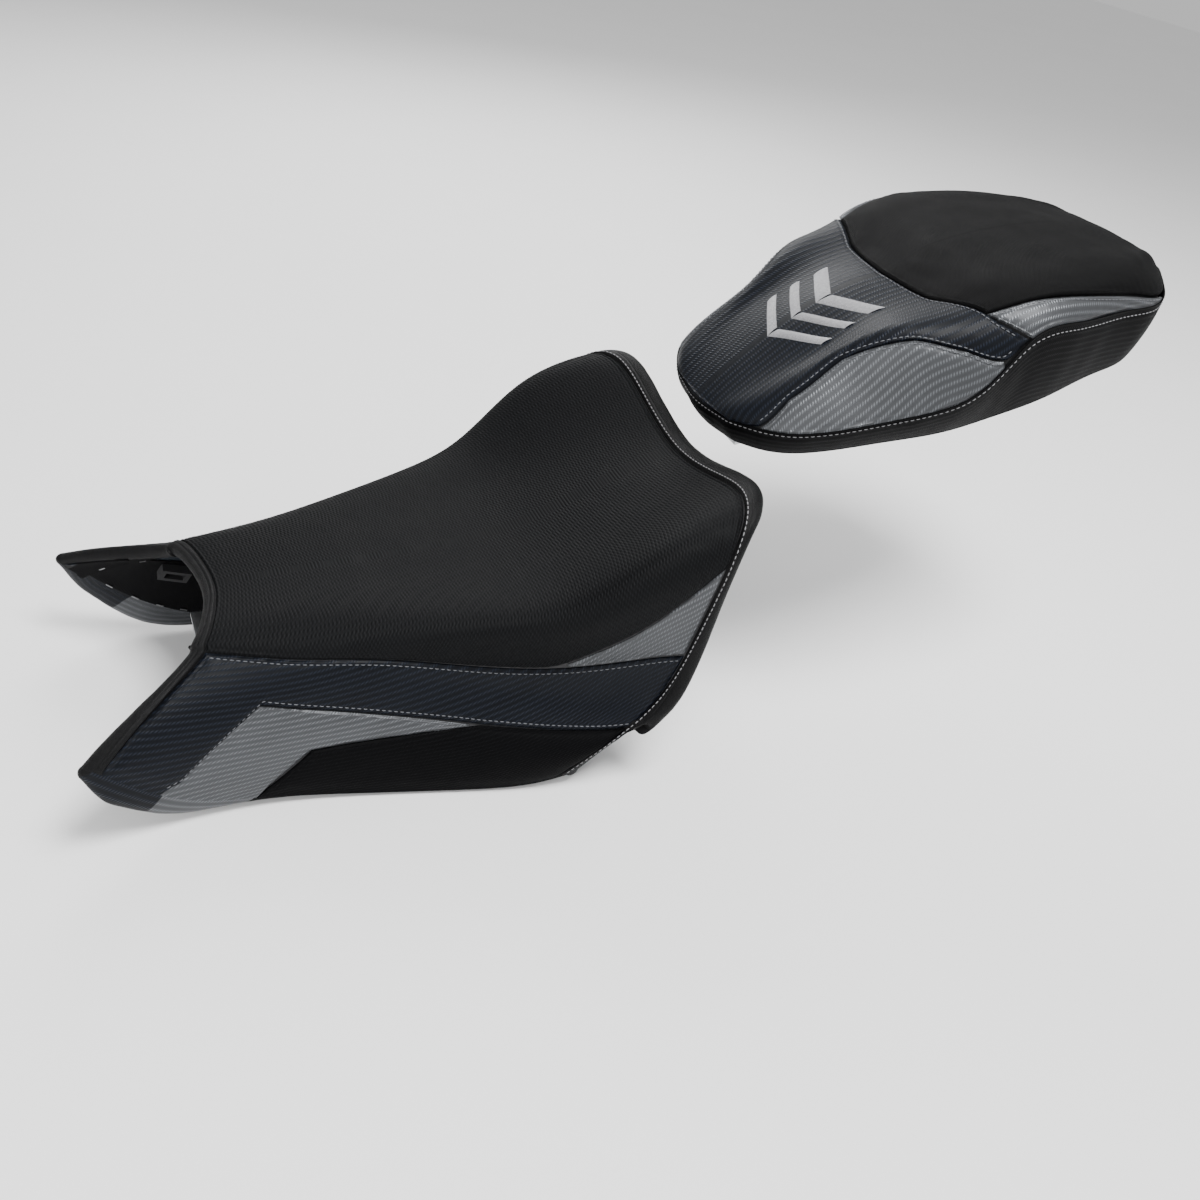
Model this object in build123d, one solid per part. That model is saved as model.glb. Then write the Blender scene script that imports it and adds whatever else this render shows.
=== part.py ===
from build123d import *
import os
from itertools import product
from math import comb, cos, radians, sin
import numpy as np

# Two-piece motorcycle seat: a rider seat whose two front wings straddle the fuel tank, and a separate
# pillion seat behind and above it.  Millimetres.  +X is forwards, +Y is the rider's left, +Z is up.
# Stations are measured from the rider seat's lowest rim (z = 0) on the centre line; every solid is
# written relative to the middle of the rider seat's two rear bolt holes.

# ---- driving dimensions ------------------------------------------------------------------------
SKIN = 2.2            # cover material with its backing
GAP = 0.3             # clearance between neighbouring layers
EDGE_FOAM = 4.0       # foam left at the rim of the pan
CORE_FOAM = 30.0      # foam under the rider
PAN = 3.0             # wall of the moulded pans
HEM = 1.1             # thickness of the turned-in cover
RIM = 0.972           # side station of the rim, as a share of the half section
FRONT_RIM, REAR_RIM = 0.008, 0.992

BOLT_HOLE_R = 3.3     # clearance hole for an M6 seat bolt
BOLT_SPACING = 90.0   # between the two seat bolts, across the bike
BOLT_HOLES = (-262.0, 0.0, 150.0)
BRACKET = 3.0         # steel plate of the rear bracket
STRIKER_R = 4.0       # latch striker rod
BUMPER_R, BUMPER_H = 11.0, 9.0
RIB_REACH, RIB_CLEAR = 0.33, 1.8  # ribs run this share of the half section, this far under the pan

PITCH = 14.1          # the pillion base rises towards the tail by this angle, in degrees
PILLION_NOSE = (-259.0, 0.0, 244.0)
PILLION_MIDDLE = 203.0           # centre of the pillion's outline, back from its nose
RIM_LENGTH, RIM_WIDTH = 0.962, 0.85   # the pillion's lower rim as a share of its top seam
PILLION_FLOOR = (3.0, 6.0)       # underside and top of the pillion pan's floor
STRIKER_PLACE = (300.0, 0.0)     # latch striker on the pillion's underside

# ---- the rider seat's outer form ---------------------------------------------------------------
# Each row is a fore-and-aft line on the left half, front to rear, at a share v of the half section.
RIDER_STATIONS = [0, 0.15, 0.33, 0.50, 0.66, 0.82, 1]
RIDER_ROWS = {
    0.00: [(152, 0, 129), (95, 0, 134), (25, 0, 139), (-45, 0, 146),
           (-105, 0, 161), (-170, 0, 192), (-241, 0, 225)],
    0.22: [(158, 36, 130), (97, 42, 136), (25, 54, 142), (-45, 66, 149),
           (-105, 78, 166), (-168, 88, 204), (-238, 88, 246)],
    0.40: [(167, 60, 129), (98, 70, 134), (25, 90, 142), (-42, 110, 152),
           (-95, 130, 169), (-150, 145, 212), (-226, 141, 245)],
    0.49: [(170, 66, 127), (102, 82, 128), (30, 101, 134), (-38, 119, 140),
           (-95, 139, 151), (-153, 155, 182), (-206, 160, 212)],
    0.58: [(171, 69, 124), (105, 88, 120), (37, 102, 118), (-33, 114, 108),
           (-100, 129, 107), (-158, 144, 118), (-187, 161, 131)],
    0.80: [(212, 104, 104), (150, 108, 80), (70, 116, 66), (-10, 130, 58),
           (-70, 146, 52), (-120, 156, 50), (-150, 160, 62)],
    1.00: [(250, 135, 82), (199, 124, 28), (140, 116, 6), (70, 123, 0),
           (-10, 138, 0), (-60, 147, 2), (-98, 152, 8)],
}
# Each cover panel lies between two edges; a pair of (u, v) places, one on each edge, ends every stretch.
# u runs front to rear, v from the centre line to the rim.
FRONT_BINDING = 0.022
# Where foam and pan end, and where the border strip is sewn on, as a station u for each v.
CORE_REAR = {0.0: REAR_RIM, 0.50: REAR_RIM, 0.62: 0.975, 0.72: 0.930, 0.80: 0.900, 1.0: 0.900}
REAR_STITCH = {0.0: 0.974, 0.3: 0.974, 0.5: 0.972, 0.6: 0.955,
               0.7: 0.912, 0.8: 0.898, 0.9: 0.920, 1.0: 0.940}
CENTRE_EDGE = {0.0: 0.576, 0.638: 0.574, 0.708: 0.546, 0.784: 0.526, 0.864: 0.506, 0.932: 0.492, 1.0: 0.480}
SIDE_BAND = [((0.022, 0.584), (0.022, 0.972)), ((0.045, 0.584), (0.075, 0.972)),
             ((0.075, 0.584), (0.118, 0.972)), ((0.105, 0.584), (0.138, 0.936)),
             ((0.130, 0.584), (0.150, 0.836)), ((0.158, 0.584), (0.160, 0.734)),
             ((0.276, 0.584), (0.276, 0.740)), ((0.392, 0.584), (0.392, 0.748)),
             ((0.528, 0.584), (0.528, 0.756)), ((0.700, 0.584), (0.700, 0.752)),
             ((0.830, 0.584), (0.830, 0.750)), ((0.955, 0.584), (0.898, 0.750))]
SIDE_INSERT = [((0.127, 0.972), (0.308, 0.972)), ((0.144, 0.936), (0.301, 0.924)),
               ((0.155, 0.840), (0.300, 0.880)), ((0.166, 0.742), (0.301, 0.846)),
               ((0.276, 0.747), (0.350, 0.827)), ((0.392, 0.755), (0.430, 0.802)),
               ((0.510, 0.763), (0.515, 0.772))]
LOWER_PANEL = [((0.308, 0.852), (0.316, 0.972)), ((0.412, 0.814), (0.420, 0.972)),
               ((0.530, 0.766), (0.530, 0.972)), ((0.700, 0.759), (0.700, 0.972)),
               ((0.820, 0.757), (0.820, 0.972)), ((0.896, 0.757), (0.930, 0.972))]
REAR_WEDGE = [((0.655, 0.571), (0.655, 0.577)), ((0.708, 0.552), (0.708, 0.577)),
              ((0.784, 0.532), (0.784, 0.577)), ((0.864, 0.512), (0.864, 0.577)),
              ((0.966, 0.490), (0.952, 0.577))]

# ---- the pillion seat's outer form, in its own pitched frame: back from the nose, left, up ---------
PILLION_STATIONS = [0, 0.051, 0.109, 0.202, 0.295, 0.365, 0.428, 0.505, 0.667, 0.830, 0.947, 1]
PILLION_ROWS = {
    0.00: [(-12, 0, 28), (10, 0, 42), (35, 0, 56), (75, 0, 76), (115, 0, 88), (145, 0, 92),
           (172, 0, 94), (205, 0, 102), (275, 0, 101), (345, 0, 89), (395, 0, 72), (418, 0, 57)],
    0.50: [(-10, 20, 28), (8, 34, 40), (36, 46, 54), (78, 56, 72), (118, 60, 87), (148, 64, 91),
           (176, 66, 94), (208, 66, 102), (276, 64, 101), (344, 58, 88), (392, 40, 71), (416, 20, 57)],
    0.80: [(-8, 32, 28.5), (4, 55, 37), (33, 72, 50), (80, 80, 69), (125, 99, 84), (155, 108, 85),
           (180, 112, 89), (208, 113, 98), (270, 110, 97), (333, 97, 85), (385, 66, 69), (413, 40, 57)],
    1.00: [(-6, 45, 29), (8, 72, 30), (33, 95, 30), (95, 116, 33), (135, 127, 37), (160, 131, 43),
           (182, 131.5, 56), (207, 131, 78), (262, 127, 79), (325, 115, 67), (378, 94, 58.5), (407, 58, 57)],
}
PAD_SEAM = {0.0: 0.402, 0.45: 0.412, 0.80: 0.452, 1.0: 0.510}
CENTRE_SIDE = {0.0: 1.0, 0.045: 0.985, 0.109: 0.80, 0.200: 0.75,
               0.300: 0.78, 0.380: 0.86, 0.455: 0.985, 0.6: 1.0}
PAD_SIDE = {0.40: 0.70, 0.500: 0.765, 0.600: 0.82, 0.720: 0.87, 0.850: 0.93, 0.945: 0.990, 1.0: 1.0}
FRONT_INSERT = [((0.055, 0.975), (0.055, 1.0)), ((0.109, 0.808), (0.109, 1.0)),
                ((0.200, 0.758), (0.200, 1.0)), ((0.300, 0.788), (0.300, 1.0)),
                ((0.380, 0.868), (0.380, 1.0)), ((0.445, 0.975), (0.445, 1.0))]
REAR_INSERT = [((0.445, 0.736), (0.457, 0.800)), ((0.500, 0.773), (0.516, 1.0)),
               ((0.600, 0.828), (0.600, 1.0)), ((0.720, 0.878), (0.720, 1.0)),
               ((0.850, 0.938), (0.850, 1.0)), ((0.925, 0.982), (0.930, 1.0))]


# ---- curves and surfaces -----------------------------------------------------------------------
def weights(knots, x):
    """Natural cubic spline weights of each knot's value at x."""
    t = np.asarray(knots, float)
    count = len(t)
    step = np.diff(t)
    unit = np.eye(count)
    slope = np.diff(unit, axis=0) / step[:, None]
    left, right = np.zeros((count, count)), np.zeros((count, count))
    left[0, 0] = left[-1, -1] = 1
    for i in range(1, count - 1):
        left[i, i - 1:i + 2] = step[i - 1], 2 * (step[i - 1] + step[i]), step[i]
        right[i] = 6 * (slope[i] - slope[i - 1])
    bend = np.linalg.solve(left, right)
    x = np.asarray(x, float)
    k = np.clip(np.searchsorted(t, x, side="right") - 1, 0, count - 2)
    h = step[k][..., None]
    a, b = (t[k + 1] - x)[..., None] / h, (x - t[k])[..., None] / h
    cubic = (a**3 - a) * bend[k] + (b**3 - b) * bend[k + 1]
    return a * unit[k] + b * unit[k + 1] + cubic * h * h / 6


SPREAD_SAMPLES = np.linspace(-1, 1, 5)


class Form:
    """A symmetric surface P(u, v): u along the rows, v from -1 (right) to 1 (left).

    The spread is how far in u and v its inner layers even out their direction, so as not to fold."""

    def __init__(self, rows, stations, spread=(0, 0)):
        self.spread = spread
        half = np.array([rows[v] for v in sorted(rows)], float)
        self.points = np.concatenate([half[:0:-1] * [1, -1, 1], half])
        sides = np.array(sorted(rows))
        self.v_knots = np.r_[-sides[:0:-1], sides]
        self.u_knots = stations

    def at(self, u, v):
        u, v = np.broadcast_arrays(np.asarray(u, float), np.asarray(v, float))
        along, across = weights(self.u_knots, u), weights(self.v_knots, v)
        return np.einsum("...i,...j,jic->...c", along, across, self.points)

    def normal(self, u, v, step=1e-3):
        along = self.at(u + step, v) - self.at(u - step, v)
        across = self.at(u, v + step) - self.at(u, v - step)
        n = np.cross(across, along)
        return n / np.linalg.norm(n, axis=-1, keepdims=True)

    def inside(self, u, v, depth):
        """Points at a depth below the surface."""
        u, v = np.broadcast_arrays(np.asarray(u, float), np.asarray(v, float))
        inward = 0
        for du, dv in product(*(np.unique(reach * SPREAD_SAMPLES) for reach in self.spread)):
            inward = inward - self.normal(np.clip(u + du, 0, 1), np.clip(v + dv, -1, 1))
        inward = inward / np.linalg.norm(inward, axis=-1, keepdims=True)
        return self.at(u, v) + inward * np.broadcast_to(depth, u.shape)[..., None]


RIDER = Form(RIDER_ROWS, RIDER_STATIONS, spread=(0.06, 0.16))
PILLION = Form(PILLION_ROWS, PILLION_STATIONS)


# A cubic through four evenly spaced samples, as Bezier control points.
THIRDS = np.linspace(0, 1, 4)
BERNSTEIN = np.stack([comb(3, k) * THIRDS**k * (1 - THIRDS)**(3 - k) for k in range(4)], 1)
TO_CONTROL = np.linalg.inv(BERNSTEIN)


def shares(cells):
    """Sample places, 0 to 1: three to every cubic cell, and the last end."""
    return np.linspace(0, 1, 3 * cells + 1)


def mesh(u_range, v_range, cells_u, cells_v):
    """Sample places over a rectangle of u and v."""
    u = u_range[0] + (u_range[1] - u_range[0]) * shares(cells_u)
    v = v_range[0] + (v_range[1] - v_range[0]) * shares(cells_v)
    return np.meshgrid(u, v, indexing="ij")


def vectors(points):
    return [Vector(*p) for p in points]


def cell_faces(grid):
    """The smooth faces through a grid of samples, one for every cubic cell."""
    faces = []
    for i in range(0, grid.shape[0] - 1, 3):
        for j in range(0, grid.shape[1] - 1, 3):
            net = np.einsum("ai,bj,ijc->abc", TO_CONTROL, TO_CONTROL, grid[i:i + 4, j:j + 4])
            faces.append(Face.make_bezier_surface([vectors(row) for row in net]))
    return faces


def side_faces(line, other):
    """The ruled faces between two matching lines of samples."""
    faces = []
    for i in range(0, len(line) - 1, 3):
        faces.append(Face.make_bezier_surface([vectors(TO_CONTROL @ line[i:i + 4]),
                                               vectors(TO_CONTROL @ other[i:i + 4])]))
    return faces


def slab(upper, lower):
    """The solid between two grids of samples that have the same layout."""
    faces = cell_faces(upper) + cell_faces(lower)
    for k in (0, -1):
        faces += side_faces(upper[k], lower[k]) + side_faces(upper[:, k], lower[:, k])
    return Solid(Shell(faces))


def between(pairs, across):
    """Sample places over a panel that is given by the pairs on its two edges."""
    ends = np.array(pairs, float)
    place = shares(len(pairs) - 1) * (len(pairs) - 1)
    index = np.arange(len(pairs))
    edges = np.array([[np.interp(place, index, ends[:, e, c]) for c in (0, 1)] for e in (0, 1)])
    s = shares(across)
    uv = edges[0][:, :, None] * (1 - s) + edges[1][:, :, None] * s
    return uv[0], uv[1]


def table(values, x):
    """The value at x in a {place: value} table, by straight lines."""
    return np.interp(np.abs(x), list(values), list(values.values()))


def mirrored(shape):
    return mirror(shape, about=Plane.XZ)


def rider_skin(u, v):
    return slab(RIDER.at(u, v), RIDER.inside(u, v, SKIN))


# ---- rider seat: cover --------------------------------------------------------------------------
def rider_panels():
    along, across = shares(12)[:, None], 1 - 2 * shares(12)
    start = FRONT_BINDING
    v = table(CENTRE_EDGE, start + (0.972 - start) * along) * across
    u = start + (table(REAR_STITCH, v) - 0.004 - start) * along
    panels = {"rider_centre_panel": rider_skin(u, v)}
    for name, pairs, count in (("side_band", SIDE_BAND, 3), ("side_insert", SIDE_INSERT, 2),
                               ("lower_panel", LOWER_PANEL, 2), ("rear_wedge", REAR_WEDGE, 1)):
        u, v = between(pairs, count)
        panels[f"rider_{name}_left"] = rider_skin(u, v)
        panels[f"rider_{name}_right"] = rider_skin(u, -v)
    return panels


def rider_strips():
    """The binding along the front arch and the border strip along the rear edge."""
    side = RIM * (1 - 2 * shares(16))
    u, v = mesh((FRONT_RIM, FRONT_BINDING - 0.003), (-RIM, RIM), 1, 16)
    binding = rider_skin(u, v)
    start = table(REAR_STITCH, side)
    u = start + (REAR_RIM - start) * shares(1)[:, None]
    border = rider_skin(u, np.broadcast_to(side, u.shape))
    return {"rider_front_binding": binding, "rider_rear_border": border}


def smoothstep(x, low, high):
    t = np.clip((x - low) / (high - low), 0, 1)
    return t * t * (3 - 2 * t)


def foam_depth(u, v):
    """Thickness of the foam: full under the rider, thin at the rim."""
    lengthwise = smoothstep(u, 0.0, 0.22) * (1 - smoothstep(u, 0.74, 0.985))
    crosswise = 1 - smoothstep(np.abs(v), 0.20, 0.50)
    return EDGE_FOAM + (CORE_FOAM - EDGE_FOAM) * lengthwise * crosswise


def rider_core():
    share, v = mesh((0, 1), (-RIM, RIM), 12, 18)
    u = FRONT_RIM + (table(CORE_REAR, v) - FRONT_RIM) * share
    foam_top = SKIN + GAP
    foam_bottom = foam_top + foam_depth(u, v)
    pan_top = foam_bottom + GAP
    foam = slab(RIDER.inside(u, v, foam_top), RIDER.inside(u, v, foam_bottom))
    pan = slab(RIDER.inside(u, v, pan_top), RIDER.inside(u, v, pan_top + PAN))
    return foam, pan


def under_pan(u, v):
    """Depth of the inside face of the rider seat's pan."""
    return SKIN + 2 * GAP + foam_depth(u, v) + PAN


def pan_underside(u, v):
    """Points on the inside face of the rider seat's pan."""
    return RIDER.inside(u, v, under_pan(u, v))


def block(x, y, z):
    """A box from its lowest and highest coordinates."""
    low, high = Vector(x[0], y[0], z[0]), Vector(x[1], y[1], z[1])
    size = high - low
    return Pos(*((low + high) * 0.5)) * Box(size.X, size.Y, size.Z)


def rider_ribs():
    """Stiffening ribs across the underside of the pan."""
    half, depth = 1.5, 12.0
    u = np.linspace(0.1, 0.97, 60)
    ribs = []
    for x in (45, 10, -55, -85, -132, -165):
        crest = []
        for v in RIB_REACH * (2 * shares(8) - 1):
            under = pan_underside(u, v)
            crest.append([np.interp(-x, -under[:, 0], under[:, c]) for c in (1, 2)])
        line = [(y, z - RIB_CLEAR) for y, z in crest]
        profile = make_face(Polyline(*line, *[(y, z - depth) for y, z in line[::-1]], close=True))
        plane = Plane(origin=(x - half, 0, 0), x_dir=(0, 1, 0), z_dir=(1, 0, 0))
        ribs.append(extrude(plane.location * profile, 2 * half))
    return Compound(children=ribs)


def rider_hem():
    """The cover's turned-in margin, stapled to the inside of the pan along all four edges."""
    flaps = []
    for u_range, v_range, count_u, count_v in (
            ((0.012, 0.050), (-0.86, 0.86), 1, 12),
            ((0.955, 0.986), (-0.5, 0.5), 1, 8),
            ((0.05, 0.89), (0.91, 0.968), 12, 1)):
        u, v = mesh(u_range, v_range, count_u, count_v)
        depth = under_pan(u, v) + GAP
        flaps.append(slab(RIDER.inside(u, v, depth), RIDER.inside(u, v, depth + HEM)))
    return {"rider_cover_hem": Compound(children=flaps + [mirrored(flaps[-1])])}


def rider_hardware():
    bolt_x, _, bolt_z = BOLT_HOLES
    half = BRACKET / 2
    plate = block((bolt_x - 14, -206), (-60, 60), (bolt_z - half, bolt_z + half))
    bracket = fillet(plate.edges().filter_by(Axis.Z), 6)
    for side in (-1, 1):
        y = side * (54.5 + half)
        bracket += block((-226, -206), (y - half, y + half), (bolt_z, rider_pan_height(-216, 56)))
        bracket -= Pos(bolt_x, side * BOLT_SPACING / 2, bolt_z) * Cylinder(BOLT_HOLE_R, 3 * BRACKET)
    head = Rot(90, 0, 0) * Cylinder(5, 4)
    screws = [Pos(-216, side * (57.7 + 2), bolt_z + 26) * head for side in (-1, 1)]
    tongue_top = rider_pan_height(118, 0)
    tongue = block((116, 160), (-24, 24), (tongue_top - 24, tongue_top - 21))
    tongue += block((116, 119), (-24, 24), (tongue_top - 24, tongue_top))
    places = [(70, 62), (-30, 74), (-110, 84)]
    bumpers = []
    for x, y in places:
        for side in (-1, 1):
            foot = rider_pan_height(x, y)
            bumpers.append(Pos(x, side * y, foot - BUMPER_H / 2) * Cylinder(BUMPER_R, BUMPER_H))
    return {
        "rider_rear_bracket": bracket,
        "rider_bracket_screws": Compound(children=screws),
        "rider_front_tongue": tongue,
        "rider_bumpers": Compound(children=bumpers),
    }


def rider_pan_height(x, y):
    """Lowest height of the pan's inside face round a bumper at (x, y)."""
    u, v = mesh((0, 1), (0, 0.6), 30, 20)
    under = pan_underside(u, v).reshape(-1, 3)
    near = np.hypot(under[:, 0] - x, under[:, 1] - y) < BUMPER_R + 3
    return under[near, 2].min() - 1.0


def staple(form_point, along, facing):
    """One staple lying on the turned-in cover."""
    plane = Plane(origin=Vector(*form_point), x_dir=Vector(*along), z_dir=Vector(*facing))
    return plane.location * (Pos(0, 0, 1.1) * Box(6, 0.9, 0.6))


def rider_staples():
    stations = [(u, side * (RIM - 0.030), 0) for u in np.linspace(0.08, 0.87, 17) for side in (-1, 1)]
    stations += [(0.036, v, 1) for v in np.linspace(-0.88, 0.88, 15)]
    stations += [(0.962, v, 1) for v in np.linspace(-0.46, 0.46, 9)]
    staples = []
    for u, v, across in stations:
        n = RIDER.normal(u, v)
        along = RIDER.at(u, v + 1e-3) - RIDER.at(u, v) if across else RIDER.at(u + 1e-3, v) - RIDER.at(u, v)
        staples.append(staple(RIDER.inside(u, v, under_pan(u, v) + GAP + HEM), along, -n))
    return {"rider_staples": Compound(children=staples)}


def wing_clips():
    """The plastic clips on the inside of the wings that hold the tank trim."""
    clips = {}
    for name, side in (("left", 1), ("right", -1)):
        u, v = 0.12, side * 0.80
        along = RIDER.at(u + 1e-3, v) - RIDER.at(u, v)
        plane = Plane(origin=Vector(*RIDER.inside(u, v, under_pan(u, v) + 1.2)), x_dir=Vector(*along),
                      z_dir=Vector(*-RIDER.normal(u, v)))
        body = Pos(0, 0, 4) * Box(24, 14, 8) - Pos(0, 0, 6) * Box(16, 7, 8)
        clips[f"rider_wing_clip_{name}"] = plane.location * body
    return clips


# ---- pillion seat, built level in its own frame (x back from the nose) and then pitched ----------
def scaled(points, length, width):
    """Points drawn in towards the middle of the pillion's outline."""
    moved = np.array(points, float)
    moved[..., 0] = PILLION_MIDDLE + (moved[..., 0] - PILLION_MIDDLE) * length
    moved[..., 1] *= width
    return moved


def outline(cells):
    """The pillion's top seam, nose to tail on the +y half."""
    lead, main = shares(1), shares(cells)
    k = np.r_[lead * 0, main[1:], np.ones(3)]
    q = np.r_[lead, np.ones(len(main) - 1), lead[::-1][1:]]
    return PILLION.at(k, q)


def rim_face(length, width, z):
    """The pillion's lower rim as a flat face, drawn in by the two shares."""
    half = scaled(outline(5), length, width)[:, :2]
    loop = [tuple(p) for p in half] + [(x, -y) for x, y in half[-2:0:-1]]
    return Pos(0, 0, z) * make_face(Spline(*loop, periodic=True))


def pillion_skin(k, q):
    top = PILLION.at(k, q)
    return slab(top, top - [0, 0, SKIN])


def pillion_panels():
    along, across = shares(10)[:, None], 1 - 2 * shares(10)
    edge = np.ones_like(along)
    for _ in range(6):
        edge = table(CENTRE_SIDE, along * (table(PAD_SEAM, edge) - 0.003))
    q = edge * across
    centre = pillion_skin(along * (table(PAD_SEAM, q) - 0.003), q)
    q = table(PAD_SIDE, 0.44 + along * 0.56) * across
    start = table(PAD_SEAM, q)
    pad = pillion_skin(start + along * (1 - start), q)
    panels = {"pillion_centre_panel": centre, "pillion_rear_pad": pad}
    for name, pairs in (("front_insert", FRONT_INSERT), ("rear_insert", REAR_INSERT)):
        k, q = between(pairs, 1)
        panels[f"pillion_{name}_left"] = pillion_skin(k, -q)
        panels[f"pillion_{name}_right"] = pillion_skin(k, q)
    return panels


def pillion_band():
    seam = outline(12)
    rim = scaled(seam, RIM_LENGTH, RIM_WIDTH)
    rim[:, 2] = PILLION_FLOOR[0]
    top = seam - [0, 0, SKIN + 2 * GAP]
    outer = np.stack([rim + (top - rim) * w for w in shares(1)])
    inner = scaled(outer, 1 - SKIN / 210, 1 - SKIN / 118)
    half = slab(outer, inner)
    return {"pillion_side_band_right": Pos(0, GAP / 2, 0) * half,
            "pillion_side_band_left": Pos(0, -GAP / 2, 0) * mirrored(half)}


def pillion_core():
    k, q = mesh((0, 1), (-1, 1), 10, 8)
    top = scaled(PILLION.at(k, q), 0.983, 0.965)
    low = scaled(PILLION.at(k, q), RIM_LENGTH * 0.98, RIM_WIDTH * 0.965)
    low[..., 2] = PILLION_FLOOR[1] + GAP
    foam = slab(top - [0, 0, SKIN + 2 * GAP], low)
    floor_low, floor_top = PILLION_FLOOR
    pan = extrude(rim_face(RIM_LENGTH * 0.98, RIM_WIDTH * 0.965, floor_low), floor_top - floor_low)
    ribs = block((70, 72.5), (-50, 50), (-7, floor_low))
    for x in (130, 190, 250, 350):
        ribs += block((x, x + 2.5), (-56, 56), (-7, floor_low))
    for y in (-45, 0, 45):
        ribs += block((70, 252), (y - 1.25, y + 1.25), (-7, floor_low))
    hem = extrude(rim_face(RIM_LENGTH * 0.99, RIM_WIDTH * 0.98, floor_low - GAP - HEM), HEM)
    hem -= extrude(rim_face(RIM_LENGTH * 0.90, RIM_WIDTH * 0.80, -1), 8)
    return {"pillion_foam": foam, "pillion_base_pan": pan + ribs, "pillion_cover_hem": hem}


def pillion_hardware():
    floor_low = PILLION_FLOOR[0]
    x0, y0 = STRIKER_PLACE
    plate = Pos(x0, y0, floor_low - 2) * Box(44, 76, 4)
    corners = [(x0, y, z) for y, z in ((-20, floor_low - 4), (-20, -32), (20, -32), (20, floor_low - 4))]
    path = FilletPolyline(*corners, radius=9)
    rod = sweep(Plane(origin=(x0, -20, floor_low - 4), z_dir=(0, 0, -1)) * Circle(STRIKER_R), path)
    screws = [Pos(x0 + dx, dy, floor_low - 4 - 2) * Cylinder(5, 4) for dx in (-13, 13) for dy in (-31, 31)]
    tongue = block((14, 58), (-20, 20), (-17, -14)) + block((55, 58), (-20, 20), (-17, floor_low))
    bumpers = [Pos(x, y, floor_low - 5) * Cylinder(BUMPER_R, 10) for x in (100, 330) for y in (-62, 62)]
    rim = scaled(outline(7), RIM_LENGTH * 0.945, RIM_WIDTH * 0.90)
    steps = rim[1:] - rim[:-1]
    staples = []
    for p, along in list(zip(rim[1:-1], steps[1:])):
        for side in (-1, 1):
            place = (p[0], side * p[1], floor_low - GAP - HEM)
            staples.append(staple(place, (along[0], side * along[1], 0), (0, 0, -1)))
    return {
        "pillion_striker_plate": plate,
        "pillion_latch_striker": rod,
        "pillion_striker_screws": Compound(children=screws),
        "pillion_front_tongue": tongue,
        "pillion_bumpers": Compound(children=bumpers),
        "pillion_staples": Compound(children=staples),
    }


def build():
    foam, pan = rider_core()
    rider = {**rider_panels(), **rider_strips(), **rider_hem(), "rider_foam": foam}
    rider["rider_base_pan"] = pan
    rider["rider_pan_ribs"] = rider_ribs()
    rider |= {**rider_hardware(), **rider_staples(), **wing_clips()}
    pillion = {**pillion_panels(), **pillion_band(), **pillion_core(), **pillion_hardware()}
    slope = radians(PITCH)
    back, up = (-cos(slope), 0, sin(slope)), (sin(slope), 0, cos(slope))
    frame = Plane(origin=PILLION_NOSE, x_dir=back, z_dir=up)
    return rider | {name: frame.location * shape for name, shape in pillion.items()}


os.makedirs("parts", exist_ok=True)
for name, shape in build().items():
    solids = shape.solids()
    print(name, len(solids), round(sum(s.volume for s in solids)), all(s.is_valid for s in solids))
    export_step(Pos(*(-c for c in BOLT_HOLES)) * shape, f"parts/{name}.step")
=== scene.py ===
from math import cos, radians, sin

import bpy
import numpy as np
from mathutils import Matrix, Vector


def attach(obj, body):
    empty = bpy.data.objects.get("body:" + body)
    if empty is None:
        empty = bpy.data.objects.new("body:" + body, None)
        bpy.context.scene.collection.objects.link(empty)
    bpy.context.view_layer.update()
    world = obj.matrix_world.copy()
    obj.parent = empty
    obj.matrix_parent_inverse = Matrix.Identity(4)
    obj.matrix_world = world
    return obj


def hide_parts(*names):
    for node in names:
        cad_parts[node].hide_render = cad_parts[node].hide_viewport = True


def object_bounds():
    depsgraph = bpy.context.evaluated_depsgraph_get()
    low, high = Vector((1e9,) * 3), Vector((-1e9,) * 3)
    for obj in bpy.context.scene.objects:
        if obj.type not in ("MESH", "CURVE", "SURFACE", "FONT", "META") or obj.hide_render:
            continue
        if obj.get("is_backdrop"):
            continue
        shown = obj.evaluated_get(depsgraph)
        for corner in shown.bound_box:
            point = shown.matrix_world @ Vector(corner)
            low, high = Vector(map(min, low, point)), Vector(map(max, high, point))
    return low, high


# Looks of a two-piece motorcycle seat: sewn, panelled covers over foam, rolled round moulded pans.
# Shapes are worked out in millimetres from the same rows as the CAD and written in metres, in the
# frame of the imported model. X is forwards, Y is the rider's left, Z is up.
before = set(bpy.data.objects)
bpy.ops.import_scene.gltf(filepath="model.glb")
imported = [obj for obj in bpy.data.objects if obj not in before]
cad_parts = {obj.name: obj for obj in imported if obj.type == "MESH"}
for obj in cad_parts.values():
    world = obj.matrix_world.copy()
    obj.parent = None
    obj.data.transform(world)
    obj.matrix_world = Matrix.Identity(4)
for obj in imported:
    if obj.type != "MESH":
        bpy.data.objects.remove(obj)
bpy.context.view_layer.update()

# ---- sizes shared with the CAD, in millimetres --------------------------------------------------
SKIN, GAP, EDGE_FOAM, CORE_FOAM, PAN, HEM = 2.2, 0.3, 4.0, 30.0, 3.0, 1.1
RIM, FRONT_RIM, REAR_RIM = 0.972, 0.008, 0.992
SPREAD, SPREAD_SAMPLES = (0.06, 0.16), np.linspace(-1, 1, 5)  # evening out of the inner layers' way in
ORIGIN = np.array([-262.0, 0.0, 150.0])
PITCH = radians(14.1)
PILLION_NOSE = np.array([-259.0, 0.0, 244.0])
PILLION_MIDDLE = 203.0
RIM_LENGTH, RIM_WIDTH = 0.962, 0.85
PILLION_FLOOR = (3.0, 6.0)

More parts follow.
